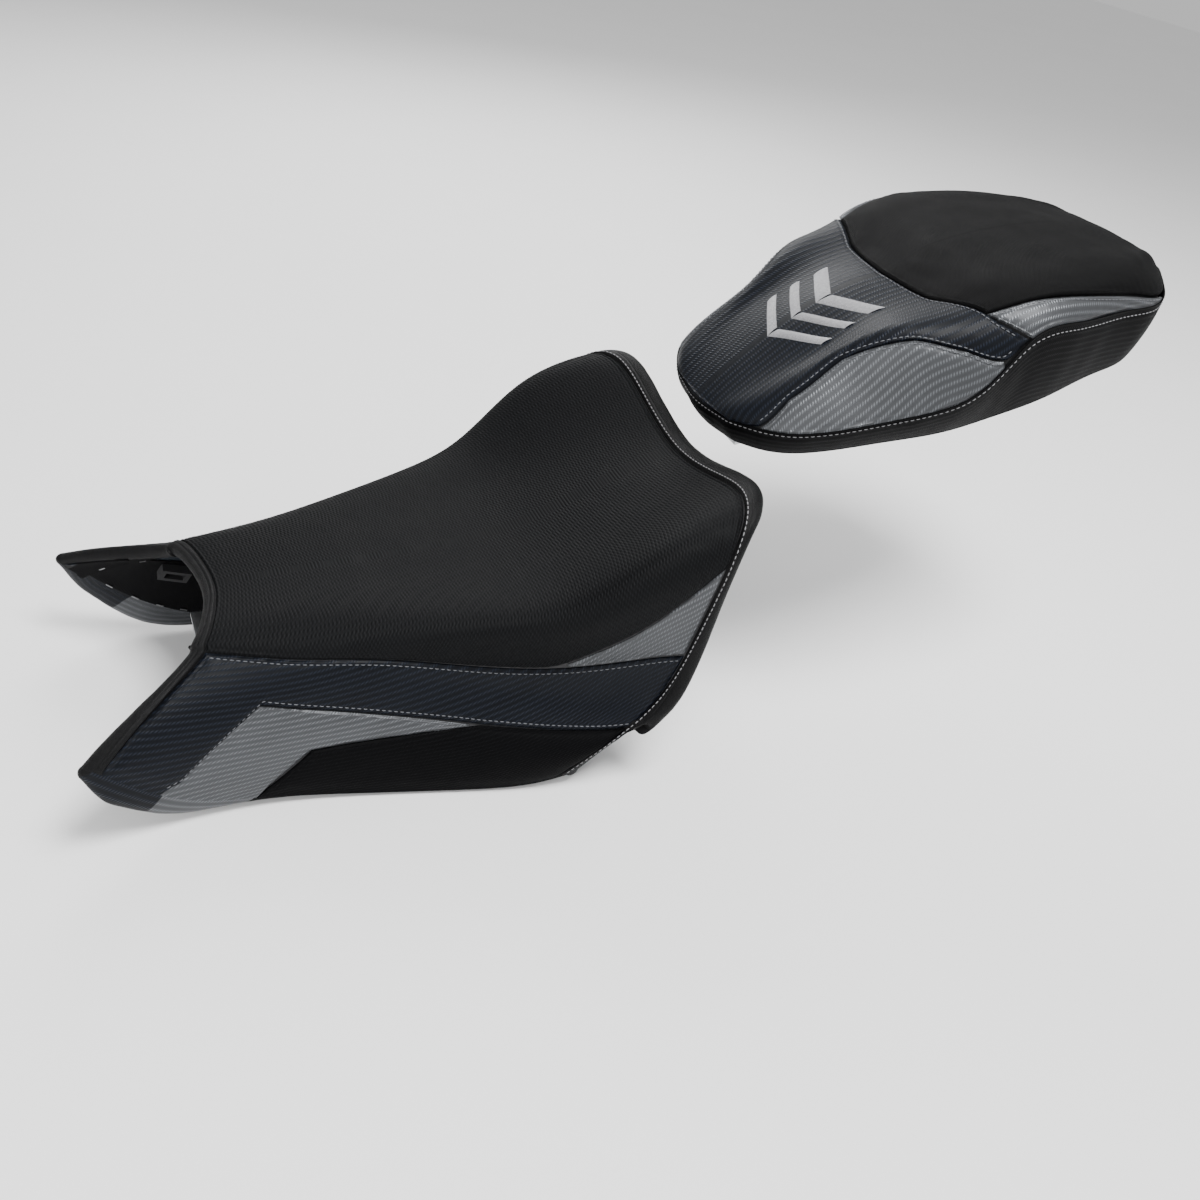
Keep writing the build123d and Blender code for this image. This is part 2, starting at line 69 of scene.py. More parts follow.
# ---- sizes that only the looks have, in millimetres unless it says otherwise -----------------------
EDGE = SKIN + GAP + EDGE_FOAM + GAP + PAN + GAP + HEM   # whole thickness at a rolled edge
RIB_PITCH, RIB_HEIGHT = 2.6, 0.32                       # the centre panel's grip ribs
ROW_PITCH, DASH_PITCH = 6.0e-3, 2.4e-3                  # rows and dashes of the emboss, in metres
SEAM_WIDTH = 1.6                                        # how far from its edge a panel is pulled down
LIP_PLACE, LIP_WIDTH, LIP_HEIGHT = 1.9, 1.1, 0.5        # the folded allowance beside a seam
PUCKER_REACH = 9.0
STITCH_INSET, BORDER_INSET, INSERT_INSET, PAD_INSET = 3.6, 2.8, 2.8, 3.0
STITCH_PITCH, STITCH_LENGTH, STITCH_R, STITCH_RISE, STITCH_SUNK = 4.6, 3.3, 0.42, 0.42, 0.18
STITCH_RINGS, STITCH_SIDES, STITCH_VALLEY = 6, 6, 0.35
CLOTH_FRAMES, CLOTH_SMOOTHINGS, CLOTH_LIMIT = 16, 14, 3.0
ROLL_REACH, ROLL_REAR, ROLL_WING = 4.6, 4.0, 13.0       # how far the rolled rim stands out
ROLL_TURN = 17                                          # points of the roll's half circle
BAND_END, INSERT_END, LOWER_END = 0.124, 0.308, 0.935   # stations where the roll changes its look
BAND_BULGE, BAND_RIPPLE, BAND_CORNER = 3.0, 0.35, 2.4
CHEVRON_THREAD, CHEVRON_SAMPLES = 0.55, 5
# Each chevron: the station of its tip, the reach of its arms in q and its width in stations.
CHEVRONS = ((0.150, 0.34, 0.022), (0.200, 0.34, 0.022), (0.252, 0.34, 0.034))

RIDER_STATIONS = [0, 0.15, 0.33, 0.50, 0.66, 0.82, 1]
RIDER_ROWS = {
    0.00: [(152, 0, 129), (95, 0, 134), (25, 0, 139), (-45, 0, 146),
           (-105, 0, 161), (-170, 0, 192), (-241, 0, 225)],
    0.22: [(158, 36, 130), (97, 42, 136), (25, 54, 142), (-45, 66, 149),
           (-105, 78, 166), (-168, 88, 204), (-238, 88, 246)],
    0.40: [(167, 60, 129), (98, 70, 134), (25, 90, 142), (-42, 110, 152),
           (-95, 130, 169), (-150, 145, 212), (-226, 141, 245)],
    0.49: [(170, 66, 127), (102, 82, 128), (30, 101, 134), (-38, 119, 140),
           (-95, 139, 151), (-153, 155, 182), (-206, 160, 212)],
    0.58: [(171, 69, 124), (105, 88, 120), (37, 102, 118), (-33, 114, 108),
           (-100, 129, 107), (-158, 144, 118), (-187, 161, 131)],
    0.80: [(212, 104, 104), (150, 108, 80), (70, 116, 66), (-10, 130, 58),
           (-70, 146, 52), (-120, 156, 50), (-150, 160, 62)],
    1.00: [(250, 135, 82), (199, 124, 28), (140, 116, 6), (70, 123, 0),
           (-10, 138, 0), (-60, 147, 2), (-98, 152, 8)],
}
FRONT_BINDING = 0.022
CORE_REAR = {0.0: REAR_RIM, 0.50: REAR_RIM, 0.62: 0.975, 0.72: 0.930, 0.80: 0.900, 1.0: 0.900}
REAR_STITCH = {0.0: 0.974, 0.3: 0.974, 0.5: 0.972, 0.6: 0.955,
               0.7: 0.912, 0.8: 0.898, 0.9: 0.920, 1.0: 0.940}
CENTRE_EDGE = {0.0: 0.576, 0.638: 0.574, 0.708: 0.546, 0.784: 0.526,
               0.864: 0.506, 0.932: 0.492, 1.0: 0.480}
SIDE_BAND = [((0.022, 0.584), (0.022, 0.972)), ((0.045, 0.584), (0.075, 0.972)),
             ((0.075, 0.584), (0.118, 0.972)), ((0.105, 0.584), (0.138, 0.936)),
             ((0.130, 0.584), (0.150, 0.836)), ((0.158, 0.584), (0.160, 0.734)),
             ((0.276, 0.584), (0.276, 0.740)), ((0.392, 0.584), (0.392, 0.748)),
             ((0.528, 0.584), (0.528, 0.756)), ((0.700, 0.584), (0.700, 0.752)),
             ((0.830, 0.584), (0.830, 0.750)), ((0.955, 0.584), (0.898, 0.750))]
SIDE_INSERT = [((0.127, 0.972), (0.308, 0.972)), ((0.144, 0.936), (0.301, 0.924)),
               ((0.155, 0.840), (0.300, 0.880)), ((0.166, 0.742), (0.301, 0.846)),
               ((0.276, 0.747), (0.350, 0.827)), ((0.392, 0.755), (0.430, 0.802)),
               ((0.510, 0.763), (0.515, 0.772))]
LOWER_PANEL = [((0.308, 0.852), (0.316, 0.972)), ((0.412, 0.814), (0.420, 0.972)),
               ((0.530, 0.766), (0.530, 0.972)), ((0.700, 0.759), (0.700, 0.972)),
               ((0.820, 0.757), (0.820, 0.972)), ((0.896, 0.757), (0.930, 0.972))]
REAR_WEDGE = [((0.655, 0.571), (0.655, 0.577)), ((0.708, 0.552), (0.708, 0.577)),
              ((0.784, 0.532), (0.784, 0.577)), ((0.864, 0.512), (0.864, 0.577)),
              ((0.966, 0.490), (0.952, 0.577))]

PILLION_STATIONS = [0, 0.051, 0.109, 0.202, 0.295, 0.365, 0.428, 0.505, 0.667, 0.830, 0.947, 1]
PILLION_ROWS = {
    0.00: [(-12, 0, 28), (10, 0, 42), (35, 0, 56), (75, 0, 76), (115, 0, 88), (145, 0, 92),
           (172, 0, 94), (205, 0, 102), (275, 0, 101), (345, 0, 89), (395, 0, 72), (418, 0, 57)],
    0.50: [(-10, 20, 28), (8, 34, 40), (36, 46, 54), (78, 56, 72), (118, 60, 87), (148, 64, 91),
           (176, 66, 94), (208, 66, 102), (276, 64, 101), (344, 58, 88), (392, 40, 71), (416, 20, 57)],
    0.80: [(-8, 32, 28.5), (4, 55, 37), (33, 72, 50), (80, 80, 69), (125, 99, 84), (155, 108, 85),
           (180, 112, 89), (208, 113, 98), (270, 110, 97), (333, 97, 85), (385, 66, 69), (413, 40, 57)],
    1.00: [(-6, 45, 29), (8, 72, 30), (33, 95, 30), (95, 116, 33), (135, 127, 37), (160, 131, 43),
           (182, 131.5, 56), (207, 131, 78), (262, 127, 79), (325, 115, 67),
           (378, 94, 58.5), (407, 58, 57)],
}
PAD_SEAM = {0.0: 0.402, 0.45: 0.412, 0.80: 0.452, 1.0: 0.510}
CENTRE_SIDE = {0.0: 1.0, 0.045: 0.985, 0.109: 0.80, 0.200: 0.75,
               0.300: 0.78, 0.380: 0.86, 0.455: 0.985, 0.6: 1.0}
PAD_SIDE = {0.40: 0.70, 0.500: 0.765, 0.600: 0.82, 0.720: 0.87, 0.850: 0.93, 0.945: 0.990, 1.0: 1.0}
FRONT_INSERT = [((0.055, 0.975), (0.055, 1.0)), ((0.109, 0.808), (0.109, 1.0)),
                ((0.200, 0.758), (0.200, 1.0)), ((0.300, 0.788), (0.300, 1.0)),
                ((0.380, 0.868), (0.380, 1.0)), ((0.445, 0.975), (0.445, 1.0))]
REAR_INSERT = [((0.445, 0.736), (0.457, 0.800)), ((0.500, 0.773), (0.516, 1.0)),
               ((0.600, 0.828), (0.600, 1.0)), ((0.720, 0.878), (0.720, 1.0)),
               ((0.850, 0.938), (0.850, 1.0)), ((0.925, 0.982), (0.930, 1.0))]


# ---- curves and surfaces ------------------------------------------------------------------------
def weights(knots, x):
    """Natural cubic spline weights of each knot's value at x."""
    t = np.asarray(knots, float)
    count = len(t)
    step = np.diff(t)
    unit = np.eye(count)
    slope = np.diff(unit, axis=0) / step[:, None]
    left, right = np.zeros((count, count)), np.zeros((count, count))
    left[0, 0] = left[-1, -1] = 1
    for i in range(1, count - 1):
        left[i, i - 1:i + 2] = step[i - 1], 2 * (step[i - 1] + step[i]), step[i]
        right[i] = 6 * (slope[i] - slope[i - 1])
    bend = np.linalg.solve(left, right)
    k = np.clip(np.searchsorted(t, x, side="right") - 1, 0, count - 2)
    h = step[k][..., None]
    a, b = (t[k + 1] - x)[..., None] / h, (x - t[k])[..., None] / h
    return a * unit[k] + b * unit[k + 1] + ((a**3 - a) * bend[k] + (b**3 - b) * bend[k + 1]) * h * h / 6


def normalised(v):
    return v / np.maximum(np.linalg.norm(v, axis=-1, keepdims=True), 1e-9)


class Form:
    """A symmetric surface P(u, v): u along the rows, v from -1 (right) to 1 (left)."""

    def __init__(self, rows, stations, outward, place):
        half = np.array([rows[v] for v in sorted(rows)], float)
        self.points = np.concatenate([half[:0:-1] * [1, -1, 1], half])
        sides = np.array(sorted(rows))
        self.v_knots = np.r_[-sides[:0:-1], sides]
        self.u_knots = stations
        self.outward = outward
        self.place = place

    def local(self, u, v):
        u, v = np.broadcast_arrays(np.asarray(u, float), np.asarray(v, float))
        wu, wv = weights(self.u_knots, u), weights(self.v_knots, v)
        return np.einsum("...i,...ic->...c", wu, np.einsum("...j,jic->...ic", wv, self.points))

    def at(self, u, v):
        """Points of the surface, in millimetres, in the rider seat's working frame."""
        return self.place(self.local(u, v))

    def slopes(self, u, v, step=1e-3):
        """Unit directions of growing u and growing v, and the outward normal."""
        along = normalised(self.at(u + step, v) - self.at(u - step, v))
        across = normalised(self.at(u, v + step) - self.at(u, v - step))
        return along, across, self.outward * normalised(np.cross(across, along))

    def normal(self, u, v):
        return self.slopes(u, v)[2]

    def inside(self, u, v, depth):
        """Points at a depth below the surface, their way in evened out so that layers don't fold."""
        u, v = np.broadcast_arrays(np.asarray(u, float), np.asarray(v, float))
        outward = 0
        for du in SPREAD[0] * SPREAD_SAMPLES:
            for dv in SPREAD[1] * SPREAD_SAMPLES:
                outward = outward + self.normal(np.clip(u + du, 0, 1), np.clip(v + dv, -1, 1))
        return self.at(u, v) - normalised(outward) * np.broadcast_to(depth, u.shape)[..., None]


def tilted(p):
    """From the pillion's own frame (back from the nose, side, up) to the working frame."""
    back, side, up = np.moveaxis(np.asarray(p, float), -1, 0)
    ahead, rise = -cos(PITCH) * back + sin(PITCH) * up, sin(PITCH) * back + cos(PITCH) * up
    return PILLION_NOSE + np.stack([ahead, -side, rise], -1)


RIDER = Form(RIDER_ROWS, RIDER_STATIONS, 1, lambda p: p)
PILLION = Form(PILLION_ROWS, PILLION_STATIONS, -1, tilted)


def smoothstep(x, low, high):
    t = np.clip((x - low) / (high - low), 0, 1)
    return t * t * (3 - 2 * t)


def table(values, x, soften=0.02):
    """The value at x in a {place: value} table, its corners rounded a little."""
    keys, heights = list(values), list(values.values())
    offsets = np.linspace(-soften, soften, 5)
    return np.mean([np.interp(np.abs(np.asarray(x) + d), keys, heights) for d in offsets], axis=0)


def eased(count, ends=0.6):
    """Places from 0 to 1, closer together near both ends."""
    x = np.linspace(0, 1, count)
    return (1 - ends) * x + ends * (0.5 - 0.5 * np.cos(np.pi * x))


def between(pairs, s, t, reach=0.0):
    """Places (u, v) over a panel that lies between two edges; reach widens it into the seams."""
    ends = np.array(pairs, float)
    index = np.arange(len(pairs))
    s, t = np.broadcast_arrays(s, t)
    place = s * (len(pairs) - 1)
    edges = [[np.interp(place, index, ends[:, e, c]) for c in (0, 1)] for e in (0, 1)]
    t = (t - 0.5) * (1 + reach) + 0.5
    return [edges[0][c] * (1 - t) + edges[1][c] * t for c in (0, 1)]


def foam_depth(u, v):
    """Thickness of the rider seat's foam: full under the rider, thin at the rim."""
    middle = smoothstep(u, 0.0, 0.22) * (1 - smoothstep(u, 0.74, 0.985))
    middle = middle * (1 - smoothstep(np.abs(v), 0.20, 0.50))
    return EDGE_FOAM + (CORE_FOAM - EDGE_FOAM) * middle


def lengths(points, axis):
    """Distance travelled along an axis of a grid of points."""
    steps = np.linalg.norm(np.diff(points, axis=axis), axis=-1)
    pad = [(0, 0)] * steps.ndim
    pad[axis] = (1, 0)
    return np.cumsum(np.pad(steps, pad), axis=axis)


# ---- materials ----------------------------------------------------------------------------------
class Nodes:
    """A material being wired: each call adds a node and returns its output."""

    def __init__(self, name, roughness, metallic=0.0, **extra):
        self.material = bpy.data.materials.new(name)
        self.material.use_nodes = True
        self.tree = self.material.node_tree
        self.shader = self.tree.nodes["Principled BSDF"]
        self.shader.inputs["Roughness"].default_value = roughness
        self.shader.inputs["Metallic"].default_value = metallic
        for socket, value in extra.items():
            self.shader.inputs[socket.replace("_", " ")].default_value = value

    def link(self, value, socket):
        if isinstance(value, bpy.types.NodeSocket):
            self.tree.links.new(value, socket)
        else:
            socket.default_value = value

    def math(self, operation, *values):
        node = self.tree.nodes.new("ShaderNodeMath")
        node.operation = operation
        for value, socket in zip(values, node.inputs):
            self.link(value, socket)
        return node.outputs[0]

    def uv(self):
        node = self.tree.nodes.new("ShaderNodeUVMap")
        node.uv_map = "cloth"
        split = self.tree.nodes.new("ShaderNodeSeparateXYZ")
        self.link(node.outputs[0], split.inputs[0])
        return node.outputs[0], split.outputs[0], split.outputs[1]

    def place(self):
        return self.tree.nodes.new("ShaderNodeTexCoord").outputs["Object"]

    def noise(self, vector, scale, detail=3.0, roughness=0.55):
        node = self.tree.nodes.new("ShaderNodeTexNoise")
        self.link(vector, node.inputs["Vector"])
        node.inputs["Scale"].default_value = scale
        node.inputs["Detail"].default_value = detail
        node.inputs["Roughness"].default_value = roughness
        return node.outputs["Fac"]

    def cells(self, vector, scale):
        node = self.tree.nodes.new("ShaderNodeTexVoronoi")
        node.feature = "DISTANCE_TO_EDGE"
        self.link(vector, node.inputs["Vector"])
        node.inputs["Scale"].default_value = scale
        return node.outputs["Distance"]

    def mix(self, share, a, b):
        node = self.tree.nodes.new("ShaderNodeMix")
        node.data_type = "RGBA"
        self.link(share, node.inputs["Factor"])
        for value, socket in ((a, node.inputs[6]), (b, node.inputs[7])):
            self.link((*value, 1.0) if isinstance(value, tuple) else value, socket)
        return node.outputs[2]

    def colour(self, value):
        self.link(value, self.shader.inputs["Base Color"])

    def rough(self, low, high, share):
        span = self.math("MULTIPLY", share, high - low)
        self.link(self.math("ADD", span, low), self.shader.inputs["Roughness"])

    def bump(self, height, distance, strength=1.0):
        node = self.tree.nodes.new("ShaderNodeBump")
        node.inputs["Strength"].default_value = strength
        node.inputs["Distance"].default_value = distance
        self.link(height, node.inputs["Height"])
        self.link(node.outputs[0], self.shader.inputs["Normal"])


def twill_vinyl(name, base, thread, roughness, metallic=0.0, specular=0.4):
    """Embossed carbon-look vinyl: rows of short raised dashes, every second row moved half a dash; the
    raised dashes take the lighter colour as a painted highlight, with random clouds of tone.
    """
    n = Nodes(name, roughness, metallic, Specular_IOR_Level=specular)
    vector, x, y = n.uv()
    row = n.math("DIVIDE", y, ROW_PITCH)
    dash = n.math("ADD", n.math("DIVIDE", x, DASH_PITCH), n.math("MULTIPLY", n.math("FLOOR", row), 0.5))
    lean = n.math("ADD", dash, n.math("MULTIPLY", n.math("FRACT", row), 0.6))
    crest = n.math("POWER", n.math("SINE", n.math("MULTIPLY", n.math("FRACT", row), np.pi)), 4.0)
    wave = n.math("MULTIPLY_ADD", n.math("SINE", n.math("MULTIPLY", lean, 2 * np.pi)), 0.5, 0.5)
    dash_relief_and_highlight = n.math("MULTIPLY", crest, wave)
    cloud = n.noise(vector, 28.0, 4.0)
    # painted highlight: the raised dashes, and random clouds, mix the base colour towards the lighter
    # thread colour
    share = n.math("ADD", n.math("MULTIPLY", dash_relief_and_highlight, 0.75), n.math("MULTIPLY", cloud, 0.22))
    n.colour(n.mix(share, base, thread))
    hollow = n.math("SUBTRACT", 1.0, n.math("MULTIPLY", dash_relief_and_highlight, cloud))
    n.rough(roughness - 0.08, roughness + 0.12, hollow)
    n.bump(n.math("ADD", dash_relief_and_highlight, n.math("MULTIPLY", n.noise(vector, 1100.0), 0.2)), 0.00030, 0.7)
    return n.material


def grained_vinyl(name, base, worn, roughness):
    """Smooth vinyl with a fine leather grain, a little lighter where it is rubbed."""
    n = Nodes(name, roughness, Specular_IOR_Level=0.14)
    vector, _, _ = n.uv()
    grain = n.math("MINIMUM", n.cells(vector, 900.0), 0.12)
    rub = n.noise(vector, 22.0, 5.0)
    n.colour(n.mix(n.math("MULTIPLY", rub, 0.6), base, worn))
    n.rough(roughness - 0.08, roughness + 0.12, rub)
    n.bump(n.math("ADD", grain, n.math("MULTIPLY", n.noise(vector, 1500.0), 0.05)), 0.0012, 0.55)
    return n.material


def woven(name, base, light, roughness, pitch, highlight_contrast=0.5):
    """Woven cloth: crossing diagonal threads with a painted highlight on the raised ones and painted
    shade between them, and soft clouds of wear.
    """
    n = Nodes(name, roughness, Specular_IOR_Level=0.08)
    vector, x, y = n.uv()
    turns = [n.math("MULTIPLY", c, 2 * np.pi / pitch) for c in (x, y)]
    diagonals = [n.math("SINE", n.math(way, turns[0], n.math("MULTIPLY", turns[1], 0.5)))
                 for way in ("ADD", "SUBTRACT")]
    weave = n.math("MULTIPLY_ADD", n.math("ADD", *diagonals), 0.25, 0.5)
    cloud = n.noise(vector, 30.0)
    # painted highlight and shade: the raised threads get the lighter colour, the hollows between them
    # stay in the deep colour
    painted_thread_highlight = n.math("MULTIPLY", n.math("POWER", weave, 2.0), highlight_contrast)
    share = n.math("ADD", painted_thread_highlight, n.math("MULTIPLY", cloud, 0.3))
    n.colour(n.mix(share, base, light))
    n.rough(roughness - 0.08, roughness + 0.08, cloud)
    n.bump(n.math("ADD", weave, n.math("MULTIPLY", n.noise(vector, 1800.0), 0.3)), 0.00030, 0.7)
    return n.material


def plain_part(name, base, light, roughness, scale, metallic=0.0, depth=0.0002, **extra):
    """Moulded plastic, rubber, foam, thread or steel: mottled colour, uneven gloss, a fine surface."""
    n = Nodes(name, roughness, metallic, **extra)
    place = n.place()
    mottle = n.noise(place, scale, 4.0)
    n.colour(n.mix(mottle, base, light))
    n.rough(roughness - 0.1, roughness + 0.1, mottle)
    n.bump(n.noise(place, scale * 25, 4.0, 0.65), depth, 0.6)
    return n.material


# Each look: how it is made, its deep colour and its raised or worn colour (on the woven and twill looks
# the raised colour is a painted highlight), its roughness and the rest.
LOOKS = {
    # grip fabric: its weave pitch is close to the rib pitch and strongly mixed, so its lighter colour
    # paints highlights on the ribs and shade in their hollows
    "grip_fabric": woven(
        "grip_fabric", (0.0008, 0.0008, 0.0010), (0.0072, 0.0078, 0.0088), 0.64, 0.0029, 0.7),
    "pad_fabric": woven("pad_fabric", (0.0007, 0.0007, 0.0008), (0.0024, 0.0024, 0.0028), 0.66, 0.0012),
    "carbon_vinyl": twill_vinyl(
        "carbon_vinyl", (0.0008, 0.0011, 0.0019), (0.010, 0.0135, 0.022), 0.36, 0.0, 0.12),
    "dark_vinyl": twill_vinyl(
        "dark_vinyl", (0.0007, 0.0007, 0.0009), (0.0026, 0.0027, 0.0034), 0.52, 0.0, 0.05),
    "silver_vinyl": twill_vinyl(
        "silver_vinyl", (0.034, 0.0355, 0.038), (0.135, 0.143, 0.155), 0.36, 0.45),
    "smooth_vinyl": grained_vinyl(
        "smooth_vinyl", (0.0009, 0.0009, 0.0011), (0.0030, 0.0030, 0.0036), 0.48),
    "foam": plain_part("foam", (0.020, 0.020, 0.021), (0.040, 0.040, 0.042), 0.92, 60.0, depth=0.0008),
    "pan_plastic": plain_part("pan_plastic", (0.014, 0.019, 0.025), (0.026, 0.033, 0.042), 0.38, 18.0),
    "rubber": plain_part("rubber", (0.005, 0.005, 0.006), (0.011, 0.011, 0.012), 0.75, 40.0),
    "staple_steel": plain_part(
        "staple_steel", (0.16, 0.165, 0.17), (0.30, 0.305, 0.31), 0.30, 90.0, 1.0),
    "zinc_steel": plain_part("zinc_steel", (0.36, 0.37, 0.38), (0.55, 0.56, 0.57), 0.34, 30.0, 1.0),
    "grey_thread": plain_part("grey_thread", (0.13, 0.13, 0.135), (0.26, 0.26, 0.27), 0.6, 700.0),
    "dark_thread": plain_part("dark_thread", (0.05, 0.052, 0.060), (0.12, 0.125, 0.135), 0.6, 700.0),
    "silver_thread": plain_part("silver_thread", (0.16, 0.16, 0.165), (0.40, 0.40, 0.415), 0.38, 500.0),
    "hem_cloth": woven("hem_cloth", (0.0015, 0.0015, 0.0018), (0.0060, 0.0060, 0.0068), 0.80, 0.0012),
}


# ---- meshes -------------------------------------------------------------------------------------
def quads(rows, columns, start=0, flip=False, closed=False):
    """Faces of a grid whose points are numbered row by row; closed joins its last row to its first."""
    i = np.arange(rows if closed else rows - 1)[:, None]
    j = np.arange(columns - 1)[None]
    a, b = i * columns + j, ((i + 1) % rows) * columns + j
    faces = np.stack([a, b, b + 1, a + 1], -1).reshape(-1, 4) + start
    return faces[:, ::-1] if flip else faces


def add_mesh(name, points, faces, uv, looks, body, which=None, replaces=()):
    """An object from points in working millimetres, riding on a body, in one or more looks."""
    mesh = bpy.data.meshes.new(name)
    mesh.from_pydata(((points - ORIGIN) / 1000).tolist(), [], [list(map(int, f)) for f in faces])
    layer = mesh.uv_layers.new(name="cloth")
    corners = np.zeros(len(mesh.loops), int)
    mesh.loops.foreach_get("vertex_index", corners)
    layer.data.foreach_set("uv", (np.asarray(uv)[corners] / 1000).ravel())
    looks = [looks] if isinstance(looks, str) else looks
    for look in looks:
        mesh.materials.append(LOOKS[look])
    if which is not None:
        mesh.polygons.foreach_set("material_index", np.asarray(which, int))
    mesh.polygons.foreach_set("use_smooth", [True] * len(mesh.polygons))
    mesh.set_sharp_from_angle(angle=radians(48))
    mesh.validate()
    mesh.update()
    thing = bpy.data.objects.new(name, mesh)
    bpy.context.scene.collection.objects.link(thing)
    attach(thing, body)
    if replaces:
        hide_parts(*replaces)
    return thing


def slab_mesh(top, bottom):
    """Points and faces of a closed plate between two grids."""
    rows, columns = top.shape[:2]
    count = rows * columns
    index = np.arange(count).reshape(rows, columns)
    faces = [quads(rows, columns), quads(rows, columns, count, flip=True)]
    edges = ((index[0], True), (index[-1], False), (index[:, 0], False), (index[:, -1], True))
    for line, flip in edges:
        wall = np.stack([line[:-1], line[:-1] + count, line[1:] + count, line[1:]], -1)
        faces.append(wall[:, ::-1] if flip else wall)
    return np.concatenate([top.reshape(-1, 3), bottom.reshape(-1, 3)]), np.concatenate(faces)


def tube_mesh(grid, lining):
    """Points and faces of a closed strip that runs round a loop, between its face and its lining."""
    rows, columns = grid.shape[:2]
    count = rows * columns
    index = np.arange(count).reshape(rows, columns)
    faces = [quads(rows, columns, closed=True), quads(rows, columns, count, flip=True, closed=True)]
    for line, flip in ((index[:, 0], False), (index[:, -1], True)):
        after = np.roll(line, -1)
        wall = np.stack([line, line + count, after + count, after], -1)
        faces.append(wall[:, ::-1] if flip else wall)
    points = np.concatenate([grid.reshape(-1, 3), lining.reshape(-1, 3)])
    return points, facing_out(points, np.concatenate(faces))


def facing_out(points, faces):
    """The faces turned so that the closed mesh's volume is positive."""
    a, b, c, d = (points[faces[:, i]] for i in range(4))
    volume = (a * np.cross(b, c)).sum() + (a * np.cross(c, d)).sum()
    return faces if volume > 0 else faces[:, ::-1]


def travelled(form, u, v, steps=16):
    """Distances along the form from its front edge and its centre line, where the threads lie."""
    shares = np.linspace(0, 1, steps + 1)
    ahead = np.stack([form.at(u * w, v) for w in shares])
    aside = np.stack([form.at(u, v * w) for w in shares])
    return [np.linalg.norm(np.diff(p, axis=0), axis=-1).sum(0) for p in (ahead, aside)]


def billowed(points, normals, pressure):
    """The rise of a grid of cloth pinned along its edges and blown up, as sewn padding fills."""
    rows, columns = points.shape[:2]
    mesh = bpy.data.meshes.new("cloth")
    mesh.from_pydata((points.reshape(-1, 3) / 1000).tolist(), [], quads(rows, columns).tolist())
    thing = bpy.data.objects.new("cloth", mesh)
    bpy.context.scene.collection.objects.link(thing)
    index = np.arange(rows * columns).reshape(rows, columns)
    edge = np.unique(np.concatenate([index[0], index[-1], index[:, 0], index[:, -1]]))
    thing.vertex_groups.new(name="pin").add(edge.tolist(), 1.0, "REPLACE")
    cloth = thing.modifiers.new("cloth", "CLOTH").settings
    cloth.vertex_group_mass = "pin"
    cloth.quality = 6
    cloth.mass = 0.25
    cloth.tension_stiffness = cloth.compression_stiffness = 12
    cloth.shear_stiffness = 4
    cloth.bending_stiffness = 0.6
    cloth.air_damping = 6
    cloth.shrink_min = -0.006
    cloth.use_pressure = True
    cloth.uniform_pressure_force = pressure
    cloth.effector_weights.gravity = 0
    for number in range(1, CLOTH_FRAMES + 1):
        bpy.context.scene.frame_set(number)
    shape = thing.evaluated_get(bpy.context.evaluated_depsgraph_get()).to_mesh()
    moved = np.zeros(rows * columns * 3)
    shape.vertices.foreach_get("co", moved)
    bpy.data.objects.remove(thing)
    bpy.context.scene.frame_set(1)
    rise = ((moved.reshape(points.shape) * 1000 - points) * normals).sum(-1)
    rise = np.clip(rise * np.sign(np.median(rise)), 0.0, CLOTH_LIMIT)
    for _ in range(CLOTH_SMOOTHINGS):
        wide = np.pad(rise, 1, mode="edge")
        around = wide[2:, 1:-1] + wide[:-2, 1:-1] + wide[1:-1, 2:] + wide[1:-1, :-2]
        rise = (around + 2 * rise) / 6
    return rise


